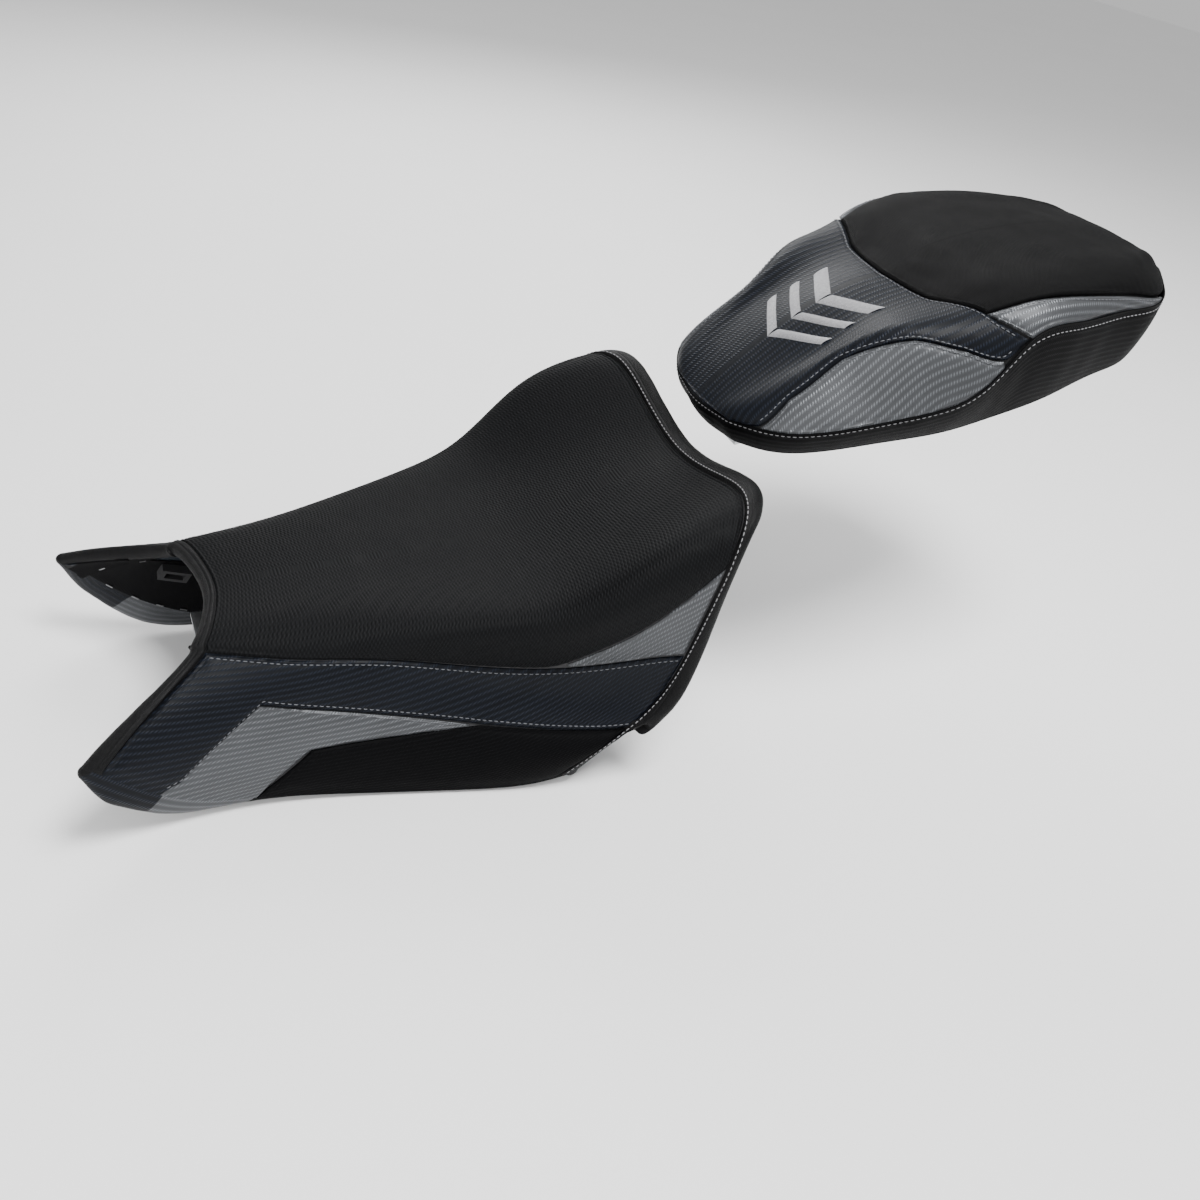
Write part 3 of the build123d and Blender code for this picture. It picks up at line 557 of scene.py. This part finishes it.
class Panel:
    """One sewn panel: puffed between its seams, pulled down along them, with a topstitched lip."""

    def __init__(self, form, u, v, puff, dip=1.3, soft=14.0, pucker=0.12, pressure=0.0, flat=1.0):
        self.base, self.normals = form.at(u, v), form.normal(u, v)
        self.along, self.across = lengths(self.base, 0), lengths(self.base, 1)
        self.uv = np.stack(travelled(form, u, v), -1)
        ends = [self.along, self.along[-1:] - self.along]
        sides = [self.across, self.across[:, -1:] - self.across]
        self.edge = np.minimum.reduce(ends + sides)
        rise = puff * (1 - np.exp(-self.edge / soft)) - dip * np.exp(-(self.edge / SEAM_WIDTH)**2)
        rise = rise + LIP_HEIGHT * np.exp(-((self.edge - LIP_PLACE) / LIP_WIDTH)**2)
        rise = rise - STITCH_VALLEY * np.exp(-(self.edge - STITCH_INSET)**2)
        wave = np.sin(self.along * 0.71 + 1.3 * np.sin(self.across * 0.21))
        wave = wave + np.sin(self.across * 0.62 + 2.0)
        rise = rise + pucker * wave * np.exp(-self.edge / PUCKER_REACH)
        if pressure:
            rise = rise + billowed(self.base, self.normals, pressure)
        self.top = self.base + self.normals * (rise * flat)[..., None]

    def ribbed(self, pitch, height):
        """Raises rounded ribs across the panel, fading out at its seams."""
        middle = self.along[:, self.along.shape[1] // 2][:, None]
        fade = 1 - np.exp(-(self.edge / 3.0)**2)
        rib = np.abs(np.sin(np.pi * middle / pitch))**0.8
        self.top = self.top + self.normals * (height * (rib - 0.5) * fade)[..., None]
        return self

    def object(self, name, look, body, replaces, fill=0.8):
        """Adds the panel as a closed plate, in place of the CAD nodes it stands for."""
        points, faces = slab_mesh(self.top, self.base - self.normals * SKIN)
        uv = np.tile(self.uv.reshape(-1, 2), (2, 1)) + 1000.0
        add_mesh(name, points, facing_out(points, faces), uv, look, body, replaces=replaces)

    def line(self, side, inset):
        """A line on the panel at a distance from one edge: 's0', 's1', 't0' or 't1'."""
        axis = 0 if side[0] == "s" else 1
        travel = self.along if axis == 0 else self.across
        if side[1] == "1":
            travel = (travel[-1:] if axis == 0 else travel[:, -1:]) - travel
        points, normals = [], []
        for k in range(travel.shape[1 - axis]):
            run = travel[:, k] if axis == 0 else travel[k]
            p = self.top[:, k] if axis == 0 else self.top[k]
            n = self.normals[:, k] if axis == 0 else self.normals[k]
            order = np.argsort(run)
            points.append([np.interp(inset, run[order], p[order, c]) for c in range(3)])
            normals.append([np.interp(inset, run[order], n[order, c]) for c in range(3)])
        return np.array(points), normalised(np.array(normals))


def resampled(points, normals, step):
    """The line's points and normals at even steps."""
    travel = np.r_[0, np.cumsum(np.linalg.norm(np.diff(points, axis=0), axis=1))]
    places = np.arange(0.5 * step, travel[-1], step)
    place, normal = (np.stack([np.interp(places, travel, a[:, c]) for c in range(3)], -1)
                     for a in (points, normals))
    return place, normalised(normal)


def rod_faces(start, rings, around):
    """Faces of a closed rod whose rings of points are numbered from start."""
    faces = []
    for r in range(rings - 1):
        for k in range(around):
            a, b = start + r * around + k, start + r * around + (k + 1) % around
            faces.append((a, b, b + around, a + around))
    last = start + (rings - 1) * around
    return faces + [tuple(range(start, start + around))[::-1], tuple(range(last, last + around))]


def stitch_row(name, lines, look, body, trim=0):
    """Thread stitches along one or more lines, each diving into the cover at both ends."""
    points, faces = [], []
    for line, normals in lines:
        place, up = resampled(line, normals, STITCH_PITCH)
        place, up = place[trim:len(place) - trim], up[trim:len(up) - trim]
        way = normalised(np.gradient(place, axis=0))
        side = normalised(np.cross(up, way))
        for p, u, w, s in zip(place, up, way, side):
            faces += rod_faces(len(points), STITCH_RINGS, STITCH_SIDES)
            for x in np.arange(STITCH_RINGS) / (STITCH_RINGS - 1):
                arch = sin(np.pi * x)
                centre = p + w * (x - 0.5) * STITCH_LENGTH + u * (STITCH_RISE * arch - STITCH_SUNK)
                width = STITCH_R * (0.35 + 0.65 * arch**0.5)
                for a in np.arange(STITCH_SIDES) * 2 * np.pi / STITCH_SIDES:
                    points.append(centre + s * width * cos(a) + u * width * 0.8 * sin(a))
    points = np.array(points)
    add_mesh(name, points, faces, points[:, :2], look, body)


# ---- rider seat: cover --------------------------------------------------------------------------
def rider_cover():
    """The ribbed centre panel, then the side panels; stitches run beside the side bands' seams."""
    rib_rows = 1150
    s, t = np.linspace(0, 1, rib_rows)[:, None], eased(56)[None]
    start = FRONT_BINDING - 0.001
    v = (table(CENTRE_EDGE, start + (0.972 - start) * s) + 0.002) * (1 - 2 * t)
    u = start + (table(REAR_STITCH, v) - 0.001 - start) * s
    centre = Panel(RIDER, u, v, puff=1.6, soft=22.0).ribbed(RIB_PITCH, RIB_HEIGHT)
    centre.object("grip_centre", "grip_fabric", "rider_seat", ["rider_centre_panel"], 0.85)
    kinds = (("side_band", SIDE_BAND, "carbon_vinyl", 260, 34, 0.028, 1.8),
             ("side_insert", SIDE_INSERT, "silver_vinyl", 170, 26, 0.05, 1.0),
             ("lower_panel", LOWER_PANEL, "dark_vinyl", 200, 30, 0.03, 1.2),
             ("rear_wedge", REAR_WEDGE, "silver_vinyl", 110, 18, 0.04, 0.8))
    for kind, pairs, look, along, across, reach, puff in kinds:
        s, t = np.linspace(0, 1, along)[:, None], eased(across)[None]
        u, v = between(pairs, s, t, reach)
        v = np.minimum(v, RIM)
        for side, sign in (("left", 1), ("right", -1)):
            panel = Panel(RIDER, u, sign * v, puff=puff, soft=12.0, flat=1 - smoothstep(v, 0.935, RIM))
            panel.object(f"{kind}_{side}", look, "rider_seat", [f"rider_{kind}_{side}"])
            if kind == "side_band":
                wing_end = along * 2 // 11
                lower = [row[wing_end:] for row in panel.line("t1", STITCH_INSET)]
                stitch_row(f"band_stitches_{side}", [panel.line("t0", STITCH_INSET), lower],
                           "dark_thread", "rider_seat", 1)


def rider_strips():
    """Front binding and rear border strip, flat on the surface up to the rims."""
    side = np.linspace(-RIM, RIM, 260)[None]
    sides_in = 1 - smoothstep(np.abs(side), 0.95, RIM)
    u = FRONT_RIM + (FRONT_BINDING - FRONT_RIM) * eased(12)[:, None]
    binding = Panel(RIDER, *np.broadcast_arrays(u, side), puff=0.8, soft=3.0, dip=0.9, pucker=0.08,
                    flat=smoothstep(u, FRONT_RIM, 0.015) * sides_in)
    binding.object("front_binding", "smooth_vinyl", "rider_seat", ["rider_front_binding"], 0.9)
    start = table(REAR_STITCH, side) + 0.001
    t = eased(20)[:, None]
    u = start + (REAR_RIM - start) * t
    border = Panel(RIDER, u, np.broadcast_to(side, u.shape), puff=1.2, soft=6.0,
                   flat=(1 - smoothstep(t, 0.55, 1.0)) * sides_in)
    border.object("rear_border", "smooth_vinyl", "rider_seat", ["rider_rear_border"], 0.9)
    stitch_row("border_stitch", [border.line("s0", BORDER_INSET)], "grey_thread", "rider_seat", 1)


def rim_loop():
    """Places (u, v) round the rider seat's rim, with the way out at each as shares of u and v."""
    corner = np.linspace(0, np.pi / 2, 12)[1:-1]
    loop = [(u, RIM, 0, 1) for u in np.linspace(FRONT_RIM, REAR_RIM, 240)]
    loop += [(REAR_RIM, RIM, sin(a), cos(a)) for a in corner]
    loop += [(REAR_RIM, v, 1, 0) for v in np.linspace(RIM, -RIM, 260)]
    loop += [(REAR_RIM, -RIM, cos(a), -sin(a)) for a in corner]
    loop += [(u, -RIM, 0, -1) for u in np.linspace(REAR_RIM, FRONT_RIM, 240)]
    loop += [(FRONT_RIM, -RIM, -sin(a), -cos(a)) for a in corner]
    loop += [(FRONT_RIM, v, -1, 0) for v in np.linspace(-RIM, RIM, 260)]
    loop += [(FRONT_RIM, RIM, -cos(a), sin(a)) for a in corner]
    return np.array(loop)


def rider_roll():
    """The cover rolled round the rim and turned in under the pan, in the looks of the panels above."""
    u, v, du, dv = rim_loop().T
    along, across, normal = RIDER.slopes(u, v)
    base = RIDER.at(u, v)
    out = normalised(along * du[:, None] + across * dv[:, None])
    out = normalised(out - normal * (out * normal).sum(-1, keepdims=True))
    wing = np.abs(dv) * (1 - smoothstep(u, 0.16, 0.44))
    reach = ROLL_REACH + ROLL_REAR * np.clip(du, 0, 1) + ROLL_WING * wing * smoothstep(u, -0.02, 0.07)
    place = np.arange(len(u))
    reach = reach + 0.15 * np.sin(place * 0.5) * np.sin(place * 0.13)
    section = []
    for a in np.linspace(0, np.pi, ROLL_TURN):
        sink = EDGE * 0.5 * (1 - cos(a)) + 0.05
        section.append(base + out * (reach * sin(a))[:, None] - normal * sink)
    for w in np.linspace(0.12, 1, 8):
        turned_u, turned_v = u - 0.036 * w * du, v - (0.060 + 0.16 * wing) * w * dv
        depth = SKIN + 3 * GAP + PAN + HEM + foam_depth(turned_u, turned_v)
        section.append(RIDER.inside(turned_u, turned_v, depth + 0.1))
    grid = np.stack(section, 1)
    facing = normalised(np.cross(np.gradient(grid, axis=0), np.gradient(grid, axis=1)))
    lining = grid - facing * HEM * np.sign((facing[:, :1] * normal[:, None]).sum(-1).mean())
    points, faces = tube_mesh(grid, lining)
    looks = ["smooth_vinyl", "carbon_vinyl", "silver_vinyl", "dark_vinyl", "hem_cloth"]
    look = np.where(u < BAND_END, 1, np.where(u < INSERT_END, 2, 3))
    look = np.where((np.abs(dv) <= 0.9) | (u > LOWER_END), 0, look)
    row, column = np.divmod(faces[:, 0] % grid[..., 0].size, grid.shape[1])
    which = np.where(column > ROLL_TURN, 4, look[row])
    uv = np.stack([lengths(grid, 0), lengths(grid, 1)], -1).reshape(-1, 2) + 5000.0
    add_mesh("rolled_edge", points, faces, np.concatenate([uv, uv]), looks, "rider_seat",
             which, ["rider_cover_hem"])


def rider_foam():
    margin = 0.004
    share, v = np.linspace(0, 1, 90)[:, None], np.linspace(-RIM + margin, RIM - margin, 110)[None]
    u = FRONT_RIM + margin + (table(CORE_REAR, v) - FRONT_RIM - 2 * margin) * share
    u, v = np.broadcast_arrays(u, v)
    top = RIDER.inside(u, v, SKIN + GAP)
    bottom = RIDER.inside(u, v, SKIN + GAP + foam_depth(u, v))
    points, faces = slab_mesh(top, bottom)
    uv = np.stack([lengths(top, 0), lengths(top, 1)], -1).reshape(-1, 2)
    add_mesh("foam_core", points, facing_out(points, faces), np.concatenate([uv, uv]), "foam",
             "rider_seat", replaces=["rider_foam"])


# ---- pillion seat -------------------------------------------------------------------------------
def pillion_cover():
    """The carbon centre, the rear pad behind its seam, and the silver inserts on both sides."""
    s, t = eased(130, 0.4)[:, None], eased(90, 0.5)[None]
    edge = np.ones_like(s)
    for _ in range(6):
        edge = table(CENTRE_SIDE, s * (table(PAD_SEAM, edge, 0.01) - 0.001), 0.01)
    q = edge * (1 - 2 * t)
    k = s * (table(PAD_SEAM, q, 0.01) - 0.001)
    centre = Panel(PILLION, k, q, puff=0.8, soft=16.0)
    centre.object("carbon_centre", "carbon_vinyl", "pillion_seat", ["pillion_centre_panel"])
    q = table(PAD_SIDE, 0.44 + s * 0.56, 0.01) * (1 - 2 * t)
    start = table(PAD_SEAM, q, 0.01) + 0.001
    pad = Panel(PILLION, start + s * (1 - start), q, puff=3.0, soft=14.0, dip=1.8, pressure=2.0)
    pad.object("rear_pad", "pad_fabric", "pillion_seat", ["pillion_rear_pad"], 0.9)
    beside_inserts = slice(18, 120)
    lines = [[row[beside_inserts] for row in centre.line(side, STITCH_INSET)] for side in ("t0", "t1")]
    stitch_row("centre_side_stitch", lines, "dark_thread", "pillion_seat", 1)
    stitch_row("pad_seam_stitch", [centre.line("s1", PAD_INSET)], "dark_thread", "pillion_seat", 2)
    for kind, pairs in (("front_insert", FRONT_INSERT), ("rear_insert", REAR_INSERT)):
        k, q = between(pairs, np.linspace(0, 1, 110)[:, None], eased(26)[None], 0.02)
        q = np.minimum(q, 1.0)
        for side, sign in (("left", -1), ("right", 1)):
            panel = Panel(PILLION, k, sign * q, puff=1.2, soft=9.0)
            panel.object(f"{kind}_{side}", "silver_vinyl", "pillion_seat", [f"pillion_{kind}_{side}"])
            seam = panel.line("t0", INSERT_INSET)
            stitch_row(f"{kind}_stitch_{side}", [seam], "dark_thread", "pillion_seat", 2)


def scaled(points, length, width):
    """Points of the pillion's own frame, drawn in towards its middle."""
    moved = np.array(points, float)
    moved[..., 0] = PILLION_MIDDLE + (moved[..., 0] - PILLION_MIDDLE) * length
    moved[..., 1] *= width
    return moved


def seam_loop(count):
    """The pillion's top seam all the way round, evenly spaced, in the pillion's own frame."""
    lead, main = np.linspace(0, 1, 60), np.linspace(0, 1, 400)
    k = np.r_[lead * 0, main[1:], np.ones(59)]
    q = np.r_[lead, np.ones(len(main) - 1), lead[::-1][1:]]
    half = PILLION.local(k, q)
    whole = np.concatenate([half, half[-2:0:-1] * [1, -1, 1]])
    closed = np.concatenate([whole, whole[:1]])
    travel = np.r_[0, np.cumsum(np.linalg.norm(np.diff(closed, axis=0), axis=1))]
    places = np.linspace(0, travel[-1], count, endpoint=False)
    return np.stack([np.interp(places, travel, closed[:, c]) for c in range(3)], -1)


def softened(values, times):
    """Values round a loop, smoothed a number of times."""
    for _ in range(times):
        values = 0.25 * np.roll(values, 1, 0) + 0.5 * values + 0.25 * np.roll(values, -1, 0)
    return values


def pillion_band():
    """The side band from the top seam down to the rim and in under the pan."""
    count = 520
    seam = softened(seam_loop(count), 3)
    rim = scaled(seam, RIM_LENGTH, RIM_WIDTH)
    rim[:, 2] = PILLION_FLOOR[0]
    up = np.array([0, 0, 1.0])
    way = normalised(np.roll(seam, -1, 0) - np.roll(seam, 1, 0))
    out = normalised(np.cross(way, up))
    out = out * np.sign((out * (seam - seam.mean(0))).sum(-1).mean())
    out = normalised(softened(out, 4))
    turn = np.arange(count) * 2 * np.pi / count
    ripple = np.sin(31 * turn) * np.sin(7 * turn)
    section = [seam - up * SKIN - out * 1.6, seam - up * 0.5 - out * 0.6, seam + out * 0.55 - up * 0.9]
    for w in eased(22, 0.5)[1:]:
        p = seam + (rim - seam) * w
        bulge = BAND_BULGE * sin(np.pi * w)**0.7 + BAND_RIPPLE * ripple * sin(np.pi * w)
        section.append(p + out * bulge[:, None])
    for a in np.linspace(0, np.pi / 2, 6)[1:]:
        section.append(rim - out * 3.2 * (1 - cos(a)) - up * BAND_CORNER * sin(a))
    for w in (0.35, 0.7, 1.0):
        p = scaled(rim, 1 - 0.055 * w, 1 - 0.12 * w)
        p[:, 2] = PILLION_FLOOR[0] - BAND_CORNER
        section.append(p + up * (BAND_RIPPLE * ripple * w)[:, None])
    grid = np.stack(section, 1)
    round_it = np.roll(grid, -1, 0) - np.roll(grid, 1, 0)
    facing = normalised(np.cross(round_it, np.gradient(grid, axis=1)))
    sign = np.sign((facing[:, 8] * out).sum(-1).mean())
    world = tilted(grid)
    points, faces = tube_mesh(world, tilted(grid - facing * sign * HEM))
    uv = np.stack([lengths(world, 0), lengths(world, 1)], -1).reshape(-1, 2) + 5000.0
    covers = ["pillion_side_band_left", "pillion_side_band_right", "pillion_cover_hem"]
    add_mesh("side_band", points, faces, np.concatenate([uv, uv]), "dark_vinyl", "pillion_seat",
             replaces=covers)
    loop = np.concatenate([grid[:, 5], grid[:1, 5]])
    outward = np.concatenate([out, out[:1]])
    outward = normalised(tilted(outward) - PILLION_NOSE)
    stitch_row("band_stitch", [(tilted(loop), outward)], "grey_thread", "pillion_seat")


def pillion_foam():
    k, q = np.linspace(0, 1, 80)[:, None], np.linspace(-1, 1, 80)[None]
    top = scaled(PILLION.local(k, q), 0.983, 0.965) - [0, 0, SKIN + 2 * GAP]
    low = scaled(PILLION.local(k, q), RIM_LENGTH * 0.98, RIM_WIDTH * 0.965)
    low[..., 2] = PILLION_FLOOR[1] + GAP
    points, faces = slab_mesh(tilted(top), tilted(low))
    add_mesh("pillion_foam_core", points, facing_out(points, faces), points[:, :2], "foam",
             "pillion_seat", replaces=["pillion_foam"])


# ---- embroidered motif on the pillion: three nested chevrons, satin stitched -----------------------
def satin_thread(first, last, up, start):
    """One raised thread from a first to a last point: its rings of points and its faces."""
    across = normalised(np.cross(up, normalised(last - first)))
    points = []
    for w in np.linspace(0, 1, CHEVRON_SAMPLES):
        centre = first + (last - first) * w + up * (0.9 * sin(np.pi * w)**0.6 - 0.5)
        for turn in 2 * np.pi * np.arange(CHEVRON_SAMPLES) / CHEVRON_SAMPLES:
            points.append(centre + across * 0.42 * cos(turn) + up * 0.3 * sin(turn))
    return points, rod_faces(start, CHEVRON_SAMPLES, CHEVRON_SAMPLES)


def motif():
    arm_length, middle, lean, float_height = 66, -0.03, 0.05, 1.15
    points, faces = [], []
    for tip, half, width in CHEVRONS:
        for side in (-1, 1):
            count = int(half * arm_length / CHEVRON_THREAD)
            for x in (np.arange(count) + 0.5) / count:
                k, q = tip + lean * x, side * half * x + middle
                ends = [(k, q), (k + width, q + side * 0.012)]
                first, last = (PILLION.at(*e) + PILLION.normal(*e) * float_height for e in ends)
                thread = satin_thread(first, last, PILLION.normal(k, q), len(points))
                points += thread[0]
                faces += thread[1]
    points = np.array(points)
    add_mesh("embroidered_chevrons", points, faces, points[:, :2], "silver_thread", "pillion_seat")


# ---- hard parts keep their CAD shape --------------------------------------------------------------
HARD = {"clip": "rubber", "bumpers": "rubber", "staples": "staple_steel", "bracket": "zinc_steel",
        "screws": "zinc_steel", "tongue": "zinc_steel", "striker": "zinc_steel"}


def dress_hard_parts():
    """Gives every CAD node its look: the pans and ribs are the moulded plastic left over."""
    for name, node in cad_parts.items():
        look = next((value for word, value in HARD.items() if word in name), "pan_plastic")
        node.data.materials.clear()
        node.data.materials.append(LOOKS[look])


# ---- floor, lights and camera ----------------------------------------------------------------------
def studio():
    """A pale floor, a white surround and three soft lamps."""
    low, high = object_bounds()
    middle = (low + high) / 2
    reach, floor_z, surround = 6.0, low.z - 0.001, 0.62
    mesh = bpy.data.meshes.new("floor")
    corners = [(middle.x + x * reach, middle.y + y * reach, floor_z)
               for x, y in ((-1, -1), (1, -1), (1, 1), (-1, 1))]
    mesh.from_pydata(corners, [], [(0, 1, 2, 3)])
    n = Nodes("floor", 0.85)
    n.colour(n.mix(n.noise(n.place(), 3.0), (0.86, 0.86, 0.86), (0.90, 0.90, 0.90)))
    mesh.materials.append(n.material)
    floor = bpy.data.objects.new("floor", mesh)
    bpy.context.scene.collection.objects.link(floor)
    floor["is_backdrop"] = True
    world = bpy.data.worlds.new("studio")
    world.use_nodes = True
    background = world.node_tree.nodes["Background"].inputs
    background["Color"].default_value = (1, 1, 1, 1)
    background["Strength"].default_value = surround
    bpy.context.scene.world = world
    for name, place, size, power in (("key", (-0.3, 0.7, 2.1), 0.9, 95),
                                     ("fill", (1.6, 1.3, 0.7), 1.0, 22),
                                     ("rim", (-0.4, -1.8, 1.3), 1.2, 34)):
        light = bpy.data.lights.new(name, "AREA")
        light.size, light.energy = size, power
        lamp = bpy.data.objects.new(name, light)
        lamp.location = middle + Vector(place)
        lamp.rotation_euler = (middle - lamp.location).to_track_quat("-Z", "Y").to_euler()
        bpy.context.scene.collection.objects.link(lamp)
        lamp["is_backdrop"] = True


def camera():
    """Above the left front, looking down, back and across."""
    place = (np.array([233.0, 736.0, 663.0]) - ORIGIN) / 1000
    fall, turn, roll = radians(35.1), radians(29.8), radians(-10.9)
    up = np.array([0, 0, 1.0])
    forward = np.array([-sin(turn), -cos(turn), 0]) * cos(fall) - up * sin(fall)
    right = normalised(np.cross(forward, up))
    down = np.cross(forward, right)
    x = cos(roll) * right + sin(roll) * down
    y = -sin(roll) * right + cos(roll) * down
    data = bpy.data.cameras.new("camera")
    data.sensor_width, data.lens = 36.0, 34.37
    data.clip_start, data.clip_end = 0.01, 50
    thing = bpy.data.objects.new("camera", data)
    thing.matrix_world = Matrix([*zip(x, -y, -forward, place), (0, 0, 0, 1)])
    bpy.context.scene.collection.objects.link(thing)
    bpy.context.scene.camera = thing


dress_hard_parts()
rider_cover()
rider_strips()
rider_roll()
rider_foam()
pillion_cover()
pillion_band()
pillion_foam()
motif()
studio()
camera()
